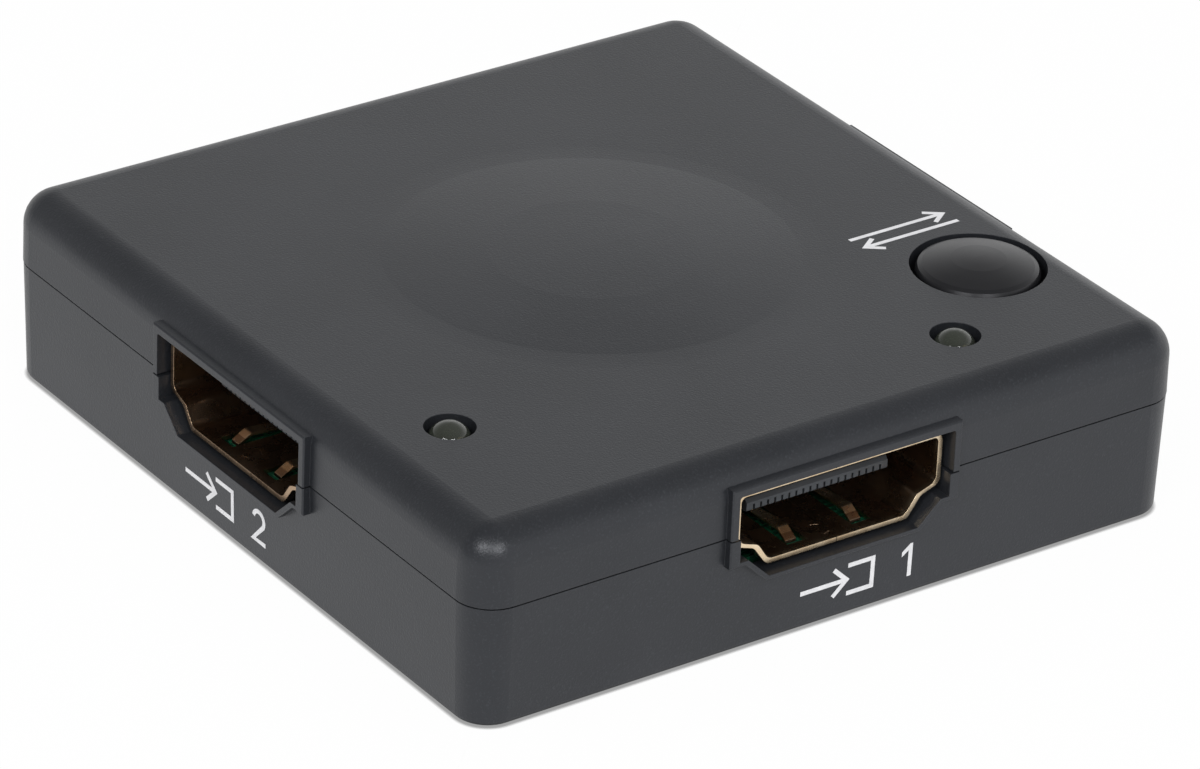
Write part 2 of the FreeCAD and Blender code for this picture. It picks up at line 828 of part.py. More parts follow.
def make_small_capacitors():
    length, width, height = small_capacitor_size
    reach = chip_size / 2 + chip_lead_reach + length
    spots = [(chip_place[0] + sx * reach, chip_place[1] + sy * reach)
             for sx in (-1, 1) for sy in (-1, 1)]
    beside = regulator_place[0] - regulator_size[0] / 2 - length
    spots += [(beside, y) for y in centred(regulator_place[1], small_capacitor_spacing)]
    body = block(centred(0.0, length), centred(0.0, width), (0, height))
    return Part.makeCompound([on_board(body.copy(), spot) for spot in spots])


def make_resistors():
    width, length, height = resistor_size
    pieces = []
    for port in ports:
        for i in range(resistors_per_port):
            x_mid = (i - (resistors_per_port - 1) / 2) * resistor_pitch
            body = block(centred(x_mid, width), centred(resistor_setback, length),
                         (board_top, board_top + height))
            pieces.append(at_port(body, port))
    return Part.makeCompound(pieces)


def make_feed_diodes():
    width, length, height = diode_size
    body = block(centred(diode_offset, width), centred(diode_setback, length),
                 (board_top, board_top + height))
    return Part.makeCompound([at_port(body, port) for port in ("input_1", "input_2")])


def make_circuit_board():
    body = plate(board_half_x, board_half_y, board_corner_radius, (board_bottom, board_top))
    holes = [disc(screw_radius + screw_clearance, (board_bottom - past, board_top + past), p)
             for p in corner_places()]
    through = [at_port(leg, port) for port in ports for leg in shell_legs()]
    for place in (lamp_1_place, lamp_2_place):
        through += make_lamp_leads(place).Solids
    through += tact_pins()
    return body.cut(holes + [board_pocket(part, board_hole_gap) for part in through])


parts = {
    "top_cover": make_top_cover(),
    "bottom_case": make_bottom_case(),
    "case_screws": make_case_screws(),
    "circuit_board": make_circuit_board(),
    "select_button": make_select_button(),
    "tact_switch_base": make_tact_base(),
    "tact_switch_cover": make_tact_cover(),
    "tact_switch_plunger": make_tact_plunger(),
    "tact_switch_dome": make_tact_dome(),
    "tact_switch_pins": Part.makeCompound(tact_pins()),
    "lamp_1_lens": make_lamp(lamp_1_place),
    "lamp_2_lens": make_lamp(lamp_2_place),
    "lamp_1_leads": make_lamp_leads(lamp_1_place),
    "lamp_2_leads": make_lamp_leads(lamp_2_place),
    "switch_chip": chip_body((chip_size, chip_size), chip_height, chip_place),
    "switch_chip_leads": make_switch_chip_leads(),
    "logic_chip": chip_body(logic_size, logic_height, logic_place),
    "logic_chip_leads": make_logic_chip_leads(),
    "voltage_regulator": chip_body(regulator_size, regulator_height, regulator_place),
    "voltage_regulator_leads": make_regulator_leads(),
    "bulk_capacitor": make_bulk_capacitor(),
    "small_capacitors": make_small_capacitors(),
    "chip_resistors": make_resistors(),
    "feed_diodes": make_feed_diodes(),
}
for name in ports:
    parts[name + "_shell"] = make_shell(name)
    parts[name + "_insulator"] = make_insulator(name)
    parts[name + "_contacts"] = make_contacts(name)

os.makedirs("parts", exist_ok=True)
for name, shape in parts.items():
    shape.exportStep("parts/" + name + ".step")
    print(name, len(shape.Solids), "solid" if len(shape.Solids) == 1 else "solids",
          round(shape.Volume, 2), "mm3", "valid" if shape.isValid() else "INVALID")
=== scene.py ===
import json
import math
import bpy
import bmesh
from mathutils import Matrix, Vector


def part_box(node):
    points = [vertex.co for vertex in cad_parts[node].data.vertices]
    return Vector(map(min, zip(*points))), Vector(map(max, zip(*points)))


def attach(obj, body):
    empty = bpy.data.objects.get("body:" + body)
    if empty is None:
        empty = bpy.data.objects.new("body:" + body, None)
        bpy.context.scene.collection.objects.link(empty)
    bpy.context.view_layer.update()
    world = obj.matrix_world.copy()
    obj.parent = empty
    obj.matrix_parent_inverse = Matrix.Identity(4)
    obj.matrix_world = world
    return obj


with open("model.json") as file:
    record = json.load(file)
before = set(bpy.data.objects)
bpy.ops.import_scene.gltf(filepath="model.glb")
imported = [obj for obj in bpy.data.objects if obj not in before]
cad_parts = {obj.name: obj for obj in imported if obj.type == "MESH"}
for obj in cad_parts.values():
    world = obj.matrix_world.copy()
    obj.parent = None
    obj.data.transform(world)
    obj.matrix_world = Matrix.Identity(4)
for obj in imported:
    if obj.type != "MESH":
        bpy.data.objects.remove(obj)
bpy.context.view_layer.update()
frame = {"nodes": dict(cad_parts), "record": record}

mm = 0.001


# Materials: lengths in metres, noise scales in features per metre

# The part of a noise's range that each effect uses
noiseSpan = {
    "tone": (0.35, 0.65),
    "gloss": (0.3, 0.7),
    "speck": (0.55, 0.75),
}
white = (1.0, 1.0, 1.0, 1.0)
bevelSamples = 6


def startMaterial(name):
    material = bpy.data.materials.new(name)
    material.use_nodes = True
    nodes = material.node_tree.nodes
    nodes.clear()
    shader = nodes.new("ShaderNodeBsdfPrincipled")
    output = nodes.new("ShaderNodeOutputMaterial")
    material.node_tree.links.new(shader.outputs["BSDF"], output.inputs["Surface"])
    return material, nodes, material.node_tree.links, shader


def setSockets(node, values):
    for name, value in values.items():
        node.inputs[name].default_value = value


def addNoise(nodes, links, scale, detail=3.0, roughness=0.5):
    # Noise on object coordinates
    place = nodes.new("ShaderNodeTexCoord")
    noise = nodes.new("ShaderNodeTexNoise")
    setSockets(noise, {"Scale": scale, "Detail": detail, "Roughness": roughness})
    links.new(place.outputs["Object"], noise.inputs["Vector"])
    return noise.outputs["Fac"]


def addRange(nodes, links, source, low, high, outLow, outHigh):
    spread = nodes.new("ShaderNodeMapRange")
    setSockets(spread, {"From Min": low, "From Max": high, "To Min": outLow, "To Max": outHigh})
    links.new(source, spread.inputs["Value"])
    return spread.outputs["Result"]


def addSpan(nodes, links, noise, span, outLow=0.0, outHigh=1.0):
    return addRange(nodes, links, noise, *noiseSpan[span], outLow, outHigh)


def addMath(nodes, links, operation, first, second):
    step = nodes.new("ShaderNodeMath")
    step.operation = operation
    for socket, value in zip(step.inputs, (first, second)):
        if isinstance(value, (int, float)):
            socket.default_value = value
        else:
            links.new(value, socket)
    return step.outputs["Value"]


def addColourMix(nodes, links, factor, first, second):
    # Either colour may be three numbers or another node's output
    mix = nodes.new("ShaderNodeMix")
    mix.data_type = "RGBA"
    for socket, colour in (("A", first), ("B", second)):
        if isinstance(colour, tuple):
            mix.inputs[socket].default_value = (*colour, 1.0)
        else:
            links.new(colour, mix.inputs[socket])
    links.new(factor, mix.inputs["Factor"])
    return mix.outputs["Result"]


def addSurface(nodes, links, shader, height, look):
    # Fine relief over softened edges
    edge = nodes.new("ShaderNodeBevel")
    edge.samples = bevelSamples
    edge.inputs["Radius"].default_value = look["edgeSoftness"]
    bump = nodes.new("ShaderNodeBump")
    setSockets(bump, {"Strength": look["grainStrength"], "Distance": look["grainDepth"]})
    links.new(height, bump.inputs["Height"])
    links.new(edge.outputs["Normal"], bump.inputs["Normal"])
    links.new(bump.outputs["Normal"], shader.inputs["Normal"])


def makeFinish(name, look):
    # A finish with slight cloudiness in its colour, and a fine grain in its gloss and surface
    material, nodes, links, shader = startMaterial(name)
    cloud = addNoise(nodes, links, look["cloudScale"])
    fine = addNoise(nodes, links, look["grainScale"], roughness=0.6)
    tone = addSpan(nodes, links, cloud, "tone")
    colour = addColourMix(nodes, links, tone, look["dark"], look["light"])
    if "speck" in look:
        speck = addSpan(nodes, links, fine, "speck")
        colour = addColourMix(nodes, links, speck, colour, look["speck"])
    links.new(colour, shader.inputs["Base Color"])
    gloss = addSpan(nodes, links, fine, "gloss", *look["rough"])
    links.new(gloss, shader.inputs["Roughness"])
    shader.inputs["Metallic"].default_value = look.get("metal", 0.0)
    if "sheen" in look:
        shader.inputs["Specular Tint"].default_value = look["sheen"]
    if "gloss" in look:
        shader.inputs["Specular IOR Level"].default_value = look["gloss"]
    addSurface(nodes, links, shader, fine, look)
    return material


mouldedLook = {
    "dark": (0.0140, 0.0153, 0.0182),
    "light": (0.0185, 0.0200, 0.0235),
    "speck": (0.030, 0.033, 0.038),
    "sheen": (0.93, 0.95, 1.0, 1.0),
    "cloudScale": 90.0,
    "grainScale": 7000.0,
    "grainDepth": 0.000020,
    "grainStrength": 0.85,
    "rough": (0.31, 0.39),
    "edgeSoftness": 0.00006,
}
buttonLook = {
    "dark": (0.0080, 0.0080, 0.0092),
    "light": (0.0110, 0.0110, 0.0125),
    "cloudScale": 300.0,
    "grainScale": 9000.0,
    "grainDepth": 0.000005,
    "grainStrength": 0.4,
    "rough": (0.29, 0.33),
    "sheen": (0.95, 0.96, 1.0, 1.0),
    "gloss": 0.46,
    "edgeSoftness": 0.00004,
}
screwLook = {
    "dark": (0.020, 0.020, 0.022),
    "light": (0.050, 0.050, 0.052),
    "cloudScale": 900.0,
    "grainScale": 9000.0,
    "grainDepth": 0.000006,
    "grainStrength": 0.5,
    "rough": (0.32, 0.46),
    "metal": 0.8,
    "edgeSoftness": 0.00005,
}
tongueLook = {
    "dark": (0.038, 0.045, 0.053),
    "light": (0.052, 0.060, 0.070),
    "cloudScale": 500.0,
    "grainScale": 8000.0,
    "grainDepth": 0.000006,
    "grainStrength": 0.4,
    "rough": (0.40, 0.50),
    "edgeSoftness": 0.00003,
}
contactLook = {
    "dark": (0.72, 0.50, 0.22),
    "light": (0.90, 0.68, 0.36),
    "cloudScale": 2500.0,
    "grainScale": 9000.0,
    "grainDepth": 0.000002,
    "grainStrength": 0.3,
    "rough": (0.18, 0.28),
    "metal": 1.0,
    "edgeSoftness": 0.00002,
}
leadLook = {
    "dark": (0.58, 0.58, 0.56),
    "light": (0.74, 0.74, 0.72),
    "cloudScale": 1500.0,
    "grainScale": 6000.0,
    "grainDepth": 0.000003,
    "grainStrength": 0.35,
    "rough": (0.24, 0.38),
    "metal": 1.0,
    "edgeSoftness": 0.00003,
}
canLook = {
    "dark": (0.60, 0.61, 0.62),
    "light": (0.70, 0.71, 0.72),
    "cloudScale": 700.0,
    "grainScale": 5000.0,
    "grainDepth": 0.000003,
    "grainStrength": 0.3,
    "rough": (0.22, 0.32),
    "metal": 1.0,
    "edgeSoftness": 0.00008,
}
resinLook = {
    "dark": (0.013, 0.013, 0.013),
    "light": (0.024, 0.024, 0.025),
    "cloudScale": 600.0,
    "grainScale": 9000.0,
    "grainDepth": 0.000010,
    "grainStrength": 0.6,
    "rough": (0.48, 0.60),
    "edgeSoftness": 0.00005,
}
ceramicLook = {
    "dark": (0.30, 0.19, 0.10),
    "light": (0.38, 0.25, 0.14),
    "cloudScale": 1200.0,
    "grainScale": 7000.0,
    "grainDepth": 0.000004,
    "grainStrength": 0.4,
    "rough": (0.40, 0.52),
    "edgeSoftness": 0.00004,
}
switchLook = {
    "dark": (0.020, 0.020, 0.021),
    "light": (0.028, 0.028, 0.030),
    "cloudScale": 500.0,
    "grainScale": 8000.0,
    "grainDepth": 0.000006,
    "grainStrength": 0.5,
    "rough": (0.42, 0.52),
    "edgeSoftness": 0.00005,
}
printLook = {
    "dark": (0.74, 0.74, 0.76),
    "light": (0.82, 0.82, 0.84),
    "cloudScale": 1500.0,
    "grainScale": 9000.0,
    "grainDepth": 0.000002,
    "grainStrength": 0.3,
    "rough": (0.48, 0.58),
    "edgeSoftness": 0.00001,
}
solderLook = {
    "dark": (0.62, 0.63, 0.64),
    "light": (0.80, 0.81, 0.82),
    "cloudScale": 2000.0,
    "grainScale": 5000.0,
    "grainDepth": 0.000004,
    "grainStrength": 0.4,
    "rough": (0.16, 0.30),
    "metal": 1.0,
    "edgeSoftness": 0.00003,
}
traceLook = {
    "dark": (0.014, 0.125, 0.055),
    "light": (0.020, 0.155, 0.070),
    "cloudScale": 800.0,
    "grainScale": 5000.0,
    "grainDepth": 0.000003,
    "grainStrength": 0.3,
    "rough": (0.24, 0.34),
    "edgeSoftness": 0.00002,
}
phosphorLook = {
    "dark": (0.46, 0.47, 0.14),
    "light": (0.60, 0.60, 0.22),
    "cloudScale": 3000.0,
    "grainScale": 9000.0,
    "grainDepth": 0.000004,
    "grainStrength": 0.4,
    "rough": (0.45, 0.60),
    "edgeSoftness": 0.00002,
}

# Gilt shell colours: the brighter pair is a painted highlight on rim and fingers, the darker
# browner pair is painted shade inside
shellLook = {
    "highlitRimDark": (0.70, 0.53, 0.34),
    "highlitRimLight": (0.92, 0.76, 0.54),
    "shadedInsideDark": (0.38, 0.255, 0.165),
    "shadedInsideLight": (0.44, 0.30, 0.195),
    "fingerHighlightReach": 0.0034,
    "fingerHighlightBand": (0.00550, 0.00630),
    "mouthPlace": 0.02515,
    "rimHighlightFade": 0.00045,
    "cloudScale": 700.0,
    "scratchScale": 9000.0,
    "rough": (0.24, 0.31),
    "grainDepth": 0.000004,
    "grainStrength": 0.35,
    "edgeSoftness": 0.00005,
}


def makeShadedHighlitGilt():
    # Painted light on the gilt: brighter gilt on each mouth's rim and on the fingers' crests as
    # painted highlight, darker browner gilt inside as painted shade
    look = shellLook
    material, nodes, links, shader = startMaterial("giltShellPaintedLight")
    place = nodes.new("ShaderNodeTexCoord")
    split = nodes.new("ShaderNodeSeparateXYZ")
    links.new(place.outputs["Object"], split.inputs["Vector"])
    across = addMath(nodes, links, "ABSOLUTE", split.outputs["X"], 0.0)
    along = addMath(nodes, links, "ABSOLUTE", split.outputs["Y"], 0.0)
    outward = addMath(nodes, links, "MAXIMUM", across, along)
    # Mask of the painted highlight: the mouth's rim, fading in from inside, and the fingers'
    # crests
    highlightMask = addRange(nodes, links, outward, look["mouthPlace"] - look["rimHighlightFade"],
                   look["mouthPlace"], 0.0, 1.0)
    inward = addMath(nodes, links, "MINIMUM", across, along)
    fingerHighlight = addMath(nodes, links, "LESS_THAN", inward, look["fingerHighlightReach"])
    low, high = look["fingerHighlightBand"]
    fingerHighlight = addMath(nodes, links, "MULTIPLY", fingerHighlight,
                     addMath(nodes, links, "GREATER_THAN", split.outputs["Z"], low))
    fingerHighlight = addMath(nodes, links, "MULTIPLY", fingerHighlight,
                     addMath(nodes, links, "LESS_THAN", split.outputs["Z"], high))
    highlightMask = addMath(nodes, links, "MAXIMUM", highlightMask, fingerHighlight)
    cloud = addNoise(nodes, links, look["cloudScale"], detail=4.0, roughness=0.6)
    fine = addNoise(nodes, links, look["scratchScale"], roughness=0.6)
    tone = addSpan(nodes, links, cloud, "tone")
    # Painted shade inside the shell, painted highlight on the rim and fingers
    shadedInside = addColourMix(nodes, links, tone, look["shadedInsideDark"], look["shadedInsideLight"])
    highlitGilt = addColourMix(nodes, links, tone, look["highlitRimDark"], look["highlitRimLight"])
    links.new(addColourMix(nodes, links, highlightMask, shadedInside, highlitGilt), shader.inputs["Base Color"])
    gloss = addSpan(nodes, links, cloud, "gloss", *look["rough"])
    links.new(gloss, shader.inputs["Roughness"])
    shader.inputs["Metallic"].default_value = 1.0
    addSurface(nodes, links, shader, fine, look)
    return material


boardLook = {
    "mask": (0.004, 0.042, 0.021),
    "maskLight": (0.006, 0.060, 0.030),
    "trace": (0.010, 0.095, 0.045),
    "via": (0.62, 0.60, 0.50),
    "traceScale": 520.0,
    "traceWidth": 0.06,
    "traceBlur": 0.3,
    "viaScale": 330.0,
    "viaSize": (0.08, 0.10),
    "cloudScale": 300.0,
    "rough": (0.22, 0.34),
    "grainDepth": 0.000020,
    "grainStrength": 0.5,
    "edgeSoftness": 0.00004,
}


def makeBoard():
    # Lacquer over thin tracks, with small tinned vias
    look = boardLook
    material, nodes, links, shader = startMaterial("boardLacquer")
    place = nodes.new("ShaderNodeTexCoord")
    tracks = nodes.new("ShaderNodeTexBrick")
    black = (0.0, 0.0, 0.0, 1.0)
    setSockets(tracks, {"Scale": look["traceScale"], "Mortar Size": look["traceWidth"],
                        "Mortar Smooth": look["traceBlur"], "Color1": black, "Color2": black,
                        "Mortar": white})
    links.new(place.outputs["Object"], tracks.inputs["Vector"])
    cloud = addNoise(nodes, links, look["cloudScale"])
    tone = addSpan(nodes, links, cloud, "tone")
    lacquer = addColourMix(nodes, links, tone, look["mask"], look["maskLight"])
    copper = addColourMix(nodes, links, tracks.outputs["Color"], lacquer, look["trace"])
    cells = nodes.new("ShaderNodeTexVoronoi")
    cells.inputs["Scale"].default_value = look["viaScale"]
    links.new(place.outputs["Object"], cells.inputs["Vector"])
    via = addRange(nodes, links, cells.outputs["Distance"], *look["viaSize"], 1.0, 0.0)
    links.new(addColourMix(nodes, links, via, copper, look["via"]), shader.inputs["Base Color"])
    gloss = addSpan(nodes, links, cloud, "gloss", *look["rough"])
    links.new(gloss, shader.inputs["Roughness"])
    addSurface(nodes, links, shader, tracks.outputs["Color"], look)
    return material


lensLook = {
    "tint": (0.10, 0.112, 0.088, 1.0),
    "clearness": 0.7,
    "ior": 1.53,
    "rough": (0.01, 0.05),
    "mottleScale": 500.0,
    "grainDepth": 0.000003,
    "grainStrength": 0.3,
}


def makeLens():
    # Smoky clear resin with slight flow marks
    look = lensLook
    material, nodes, links, shader = startMaterial("lampResin")
    setSockets(shader, {"Base Color": look["tint"], "Transmission Weight": look["clearness"],
                        "IOR": look["ior"]})
    cloud = addNoise(nodes, links, look["mottleScale"], detail=2.0)
    gloss = addSpan(nodes, links, cloud, "gloss", *look["rough"])
    links.new(gloss, shader.inputs["Roughness"])
    bump = nodes.new("ShaderNodeBump")
    setSockets(bump, {"Strength": look["grainStrength"], "Distance": look["grainDepth"]})
    links.new(cloud, bump.inputs["Height"])
    links.new(bump.outputs["Normal"], shader.inputs["Normal"])
    return material


finishes = {
    "moulded_case": makeFinish("mouldedCharcoal", mouldedLook),
    "button_cap": makeFinish("satinButton", buttonLook),
    "blackened_steel": makeFinish("blackScrew", screwLook),
    "gold_plated_steel": makeShadedHighlitGilt(),
    "insulator_resin": makeFinish("tonguePlastic", tongueLook),
    "contact_gold": makeFinish("giltContact", contactLook),
    "green_board": makeBoard(),
    "tinned_steel": makeFinish("tinnedLead", leadLook),
    "capacitor_can": makeFinish("brushedCan", canLook),
    "capacitor_ceramic": makeFinish("tanCeramic", ceramicLook),
    "chip_resin": makeFinish("chipResin", resinLook),
    "switch_body": makeFinish("switchPlastic", switchLook),
    "lamp_lens": makeLens(),
}
whitePrint = makeFinish("whitePrint", printLook)
brightSolder = makeFinish("brightSolder", solderLook)
coatedTrace = makeFinish("coatedTrace", traceLook)
lampPhosphor = makeFinish("lampPhosphor", phosphorLook)

slotOf = {entry["node"]: entry["material_slot"] for entry in frame["record"]["subparts"]}
for name, node in frame["nodes"].items():
    node.data.materials.clear()
    node.data.materials.append(finishes[slotOf[name]])
print("finishes on", len(slotOf), "nodes")


# Every piece made here belongs to the case

def addPiece(name, data, material):
    data.materials.clear()
    data.materials.append(material)
    piece = bpy.data.objects.new(name, data)
    bpy.context.scene.collection.objects.link(piece)
    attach(piece, "case")
    print(name, len(data.polygons), "faces")


def closeMesh(name, mesh):
    bmesh.ops.recalc_face_normals(mesh, faces=mesh.faces)
    data = bpy.data.meshes.new(name)
    mesh.to_mesh(data)
    mesh.free()
    return data


def turnedBy(angle, u, v):
    return (u * math.cos(angle) - v * math.sin(angle),
            u * math.sin(angle) + v * math.cos(angle))


# Prints: short white strokes laid on the moulded walls, sizes in millimetres

printPlan = {
    "stroke": 0.29,
    "proud": 0.012,
    "step": 0.003,
    "sunk": 0.03,
    "mitreLimit": 0.5,
    "enterArrow": [[(0.0, 1.12), (3.25, 1.12)], [(2.35, 2.02), (3.30, 1.12), (2.35, 0.22)]],
    "enterFrame": [[(3.35, 2.05), (5.15, 2.05), (5.15, 0.18), (3.35, 0.18)]],
    "one": [(7.74, 0.0), (8.02, 0.0), (8.02, 2.2), (7.84, 2.2), (7.26, 1.74), (7.26, 1.42),
            (7.74, 1.77)],
    "twoCentre": (8.02, 1.56),
    "twoRadius": 0.56,
    "twoTurn": (168.0, -32.0),
    "twoSteps": 15,
    "twoFoot": [(7.42, 0.14), (8.72, 0.14)],
    "frontStart": -2.52,
    "sideStart": 5.36,
    "baseHeight": 1.27,
    "swapStart": (14.3, -8.1),
    "swapStrokes": [[(0.0, 1.62), (6.9, 1.62)], [(5.95, 2.32), (6.95, 1.62), (5.95, 0.92)],
                    [(0.35, 0.42), (7.25, 0.42)], [(1.30, 1.12), (0.30, 0.42), (1.30, -0.28)]],
}

# The case's outer walls, in millimetres and degrees
wallPlan = {
    "frontY": -25.4,
    "sideX": -25.0,
    "parting": 7.7,
    "draft": 1.4,
    "top": 12.4,
}


def arcPoints(centre, radius, start, end, count):
    angles = [math.radians(start + (end - start) * i / (count - 1)) for i in range(count)]
    return [(centre[0] + radius * math.cos(a), centre[1] + radius * math.sin(a)) for a in angles]


def strokeSides(points, width):
    # Left and right edge points of a stroke, mitred where it turns
    left, right = [], []
    for i, (u, v) in enumerate(points):
        before = Vector(points[i]) - Vector(points[i - 1]) if i > 0 else None
        after = Vector(points[i + 1]) - Vector(points[i]) if i < len(points) - 1 else None
        first = (before or after).normalized()
        second = (after or before).normalized()
        normal = Vector((-first.y - second.y, first.x + second.x)).normalized()
        mitre = max(printPlan["mitreLimit"], normal.dot(Vector((-first.y, first.x))))
        reach = width / 2 / mitre
        left.append((u + normal.x * reach, v + normal.y * reach))
        right.append((u - normal.x * reach, v - normal.y * reach))
    return left, right


def addOutline(mesh, outline, toWall, proud):
    # A closed slab that stands proud of the wall and reaches a little into it
    top = [mesh.verts.new(toWall(u, v, proud)) for u, v in outline]
    foot = [mesh.verts.new(toWall(u, v, -printPlan["sunk"])) for u, v in outline]
    mesh.faces.new(top)
    mesh.faces.new(foot[::-1])
    for i in range(len(outline)):
        j = (i + 1) % len(outline)
        mesh.faces.new((top[i], foot[i], foot[j], top[j]))


def makePrint(name, strokes, shapes, toWall):
    # Each outline stands a step higher than the last, so that crossings stay clean
    mesh = bmesh.new()
    outlines = list(shapes)
    for points in strokes:
        left, right = strokeSides(points, printPlan["stroke"])
        outlines.append(right + left[::-1])
    for i, outline in enumerate(outlines):
        addOutline(mesh, outline, toWall, printPlan["proud"] + i * printPlan["step"])
    addPiece(name, closeMesh(name, mesh), whitePrint)


wallLean = math.tan(math.radians(wallPlan["draft"]))


def onFront(u, v, depth):
    z = printPlan["baseHeight"] + v
    y = wallPlan["frontY"] + (wallPlan["parting"] - z) * wallLean
    return Vector((printPlan["frontStart"] + u, y - depth, z)) * mm


def onSide(u, v, depth):
    z = printPlan["baseHeight"] + v
    x = wallPlan["sideX"] + (wallPlan["parting"] - z) * wallLean
    return Vector((x - depth, printPlan["sideStart"] - u, z)) * mm


def onTop(u, v, depth):
    start = printPlan["swapStart"]
    return Vector((start[0] + u, start[1] + v, wallPlan["top"] + depth)) * mm


enter = printPlan["enterArrow"] + printPlan["enterFrame"]
two = arcPoints(printPlan["twoCentre"], printPlan["twoRadius"], *printPlan["twoTurn"],
                printPlan["twoSteps"])
makePrint("inputMark1", enter, [printPlan["one"]], onFront)
makePrint("inputMark2", enter + [two + printPlan["twoFoot"]], [], onSide)
makePrint("swapMark", printPlan["swapStrokes"], [], onTop)
print("prints laid")


# Inside each lamp, in millimetres: a reflector cup with its phosphor, and the bond wire

lampPlan = {
    "places": {"lamp1": (12.5, -19.25), "lamp2": (-19.0, -13.3)},
    "cup": [(0.0, 10.82), (0.42, 10.84), (0.68, 11.16), (0.78, 11.16), (0.74, 9.6), (0.34, 8.9),
            (0.30, 7.9), (0.0, 7.9)],
    "phosphor": [(0.0, 11.22), (0.34, 11.16), (0.58, 11.04), (0.48, 10.88), (0.0, 10.84)],
    "cupOffset": (-0.25, -0.35),
    "steps": 28,
    "post": [(0.85, -0.10, 7.9), (0.85, -0.10, 11.0), (0.70, -0.15, 11.45), (0.25, -0.25, 11.6),
             (-0.10, -0.30, 11.2)],
    "wireWidth": 0.09,
    "wireTurn": 0.25,
}


def makeTurned(name, profile, place, material):
    # Turns a profile of radius and height round an upright line through the place
    mesh = bmesh.new()
    steps = lampPlan["steps"]
    rings = []
    for radius, height in profile:
        if radius == 0.0:
            rings.append([mesh.verts.new(Vector((place[0], place[1], height)) * mm)])
            continue
        angles = [2 * math.pi * i / steps for i in range(steps)]
        rings.append([mesh.verts.new(Vector((place[0] + radius * math.cos(a),
                                             place[1] + radius * math.sin(a), height)) * mm)
                      for a in angles])
    for first, second in zip(rings, rings[1:]):
        for i in range(steps):
            j = (i + 1) % steps
            corners = [first[i % len(first)], first[j % len(first)],
                       second[j % len(second)], second[i % len(second)]]
            mesh.faces.new(list(dict.fromkeys(corners)))
    addPiece(name, closeMesh(name, mesh), material)


for name, (x, y) in lampPlan["places"].items():
    middle = (x + lampPlan["cupOffset"][0], y + lampPlan["cupOffset"][1])
    makeTurned(name + "Cup", lampPlan["cup"], middle, finishes["tinned_steel"])
    makeTurned(name + "Phosphor", lampPlan["phosphor"], middle, lampPhosphor)
print("lamp cups made")


# What repeats or follows a path: wires, tracks and solder, grown by node trees

def startTree(name, sizes):
    # A tree with a geometry input and one input for each named size
    tree = bpy.data.node_groups.new(name, "GeometryNodeTree")
    tree.interface.new_socket("Geometry", in_out="INPUT", socket_type="NodeSocketGeometry")
    for label, value in sizes.items():
        kind = "NodeSocketInt" if isinstance(value, int) else "NodeSocketFloat"
        tree.interface.new_socket(label, in_out="INPUT", socket_type=kind)
    tree.interface.new_socket("Geometry", in_out="OUTPUT", socket_type="NodeSocketGeometry")
    start = tree.nodes.new("NodeGroupInput")
    return tree, tree.nodes, tree.links, start


def endTree(tree, geometry, material):
    realize = tree.nodes.new("GeometryNodeRealizeInstances")
    paint = tree.nodes.new("GeometryNodeSetMaterial")
    paint.inputs["Material"].default_value = material
    end = tree.nodes.new("NodeGroupOutput")
    tree.links.new(geometry, realize.inputs["Geometry"])
    tree.links.new(realize.outputs["Geometry"], paint.inputs["Geometry"])
    tree.links.new(paint.outputs["Geometry"], end.inputs["Geometry"])


def bakeTree(name, guide, tree, sizes, material):
    # Runs the tree on the guide and keeps the result as a plain mesh
    bpy.context.scene.collection.objects.link(guide)
    modifier = guide.modifiers.new(tree.name, "NODES")
    modifier.node_group = tree
    for item in tree.interface.items_tree:
        if item.in_out == "INPUT" and item.name in sizes:
            modifier[item.identifier] = sizes[item.name]
    seen = guide.evaluated_get(bpy.context.evaluated_depsgraph_get())
    data = bpy.data.meshes.new_from_object(seen)
    guide.modifiers.remove(modifier)
    bpy.data.objects.remove(guide)
    data.name = name
    addPiece(name, data, material)


def makeWireTree(name, sizes, material):
    # Sweeps a rectangle along the guide's edges, with rounded turns
    tree, nodes, links, start = startTree(name, sizes)
    toCurve = nodes.new("GeometryNodeMeshToCurve")
    fillet = nodes.new("GeometryNodeFilletCurve")
    fillet.mode = "POLY"
    fillet.inputs["Limit Radius"].default_value = True
    section = nodes.new("GeometryNodeCurvePrimitiveQuadrilateral")
    sweep = nodes.new("GeometryNodeCurveToMesh")
    sweep.inputs["Fill Caps"].default_value = True
    links.new(start.outputs["Geometry"], toCurve.inputs["Mesh"])
    links.new(toCurve.outputs["Curve"], fillet.inputs["Curve"])
    links.new(start.outputs["Turn Radius"], fillet.inputs["Radius"])
    links.new(start.outputs["Turn Steps"], fillet.inputs["Count"])
    links.new(start.outputs["Width"], section.inputs["Width"])
    links.new(start.outputs["Height"], section.inputs["Height"])
    links.new(fillet.outputs["Curve"], sweep.inputs["Curve"])
    links.new(section.outputs["Curve"], sweep.inputs["Profile Curve"])
    endTree(tree, sweep.outputs["Mesh"], material)
    return tree


def makeGuide(name, paths):
    # Loose edges through each path's points, given in millimetres
    mesh = bmesh.new()
    for path in paths:
        points = [mesh.verts.new(Vector(point) * mm) for point in path]
        for first, second in zip(points, points[1:]):
            mesh.edges.new((first, second))
    data = bpy.data.meshes.new(name)
    mesh.to_mesh(data)
    mesh.free()
    return bpy.data.objects.new(name, data)


wireSizes = {"Width": lampPlan["wireWidth"] * mm, "Height": lampPlan["wireWidth"] * mm,
             "Turn Radius": lampPlan["wireTurn"] * mm, "Turn Steps": 3}
wireTree = makeWireTree("lampWire", wireSizes, finishes["contact_gold"])
for name, (x, y) in lampPlan["places"].items():
    path = [(x + dx, y + dy, z) for dx, dy, z in lampPlan["post"]]
    bakeTree(name + "Wire", makeGuide("wireGuide", [path]), wireTree, wireSizes,
             finishes["contact_gold"])

